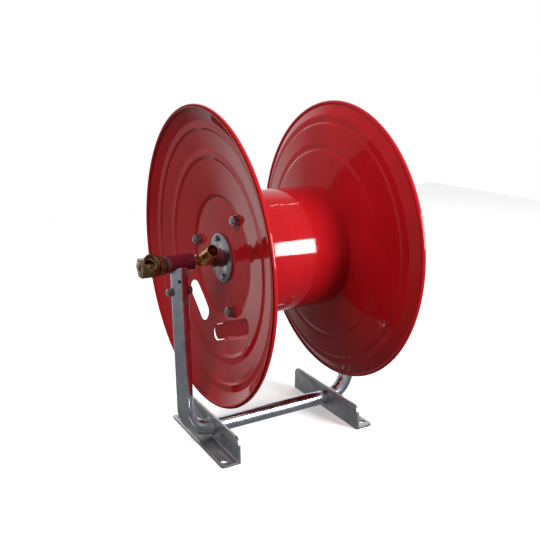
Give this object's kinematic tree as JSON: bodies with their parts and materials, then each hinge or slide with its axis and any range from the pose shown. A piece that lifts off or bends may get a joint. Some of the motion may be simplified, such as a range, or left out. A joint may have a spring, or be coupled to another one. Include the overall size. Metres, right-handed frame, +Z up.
{
  "type": "fire hose reel",
  "caption": "Floor-standing manual hose reel: drum between pressed red discs on a bent-tube stand with angle feet, fed by a brass swivel.",
  "frame": {"origin": "on the ground, in the middle of the four foot holes, straight below the middle of the axle", "axes": "X along the axle with the water inlet at -X, -Y the front the inlet points to, Z up"},
  "size_m": [0.471, 0.53, 0.615],
  "materials": {
    "red_paint": "glossy red coating over pressed steel",
    "tube_zinc": "bright zinc plate over steel tube",
    "foot_zinc": "duller zinc plate over rolled angle",
    "zinc_steel": "bright zinc plate",
    "dark_steel": "black oxide",
    "brass": "machined, lightly tarnished",
    "bush_plastic": "matte moulded",
    "seal_rubber": "matte"
  },
  "bodies": {
    "stand": {"frame_tube": "tube_zinc", "left_foot": "foot_zinc", "right_foot": "foot_zinc", "left_bearing_tee": "red_paint", "right_bearing_tee": "red_paint", "axle_bushes": "bush_plastic", "tee_clamp_bolts": "zinc_steel", "tee_clamp_nuts": "zinc_steel", "tee_clamp_washers": "zinc_steel", "tee_grub_screws": "dark_steel"},
    "reel": {"left_disc": "red_paint", "right_disc": "red_paint", "drum_shell": "red_paint", "tie_studs": "zinc_steel", "tie_stud_nuts": "zinc_steel", "tie_stud_washers": "zinc_steel", "left_hub_flange": "zinc_steel", "right_hub_flange": "zinc_steel", "hub_screws": "zinc_steel", "hub_screw_nuts": "zinc_steel", "water_spindle": "brass", "outlet_spigot": "brass", "spindle_collar_nut": "brass", "swivel_thrust_washer": "bush_plastic", "spindle_seals": "seal_rubber", "spindle_clip": "dark_steel", "right_shaft": "zinc_steel", "right_shaft_washer": "zinc_steel", "right_shaft_split_pin": "zinc_steel"},
    "swivel": {"swivel_body": "brass", "swivel_end_plug": "brass", "swivel_plug_seal": "seal_rubber"}
  },
  "joints": [
    {"name": "drum_spin", "type": "hinge", "parent": "stand", "child": "reel", "pos_m": [0, 0, 0.35], "axis": [1, 0, 0], "continuous": true},
    {"name": "swivel_turn", "type": "hinge", "parent": "stand", "child": "swivel", "pos_m": [-0.2375, 0, 0.35], "axis": [1, 0, 0], "continuous": true}
  ]
}
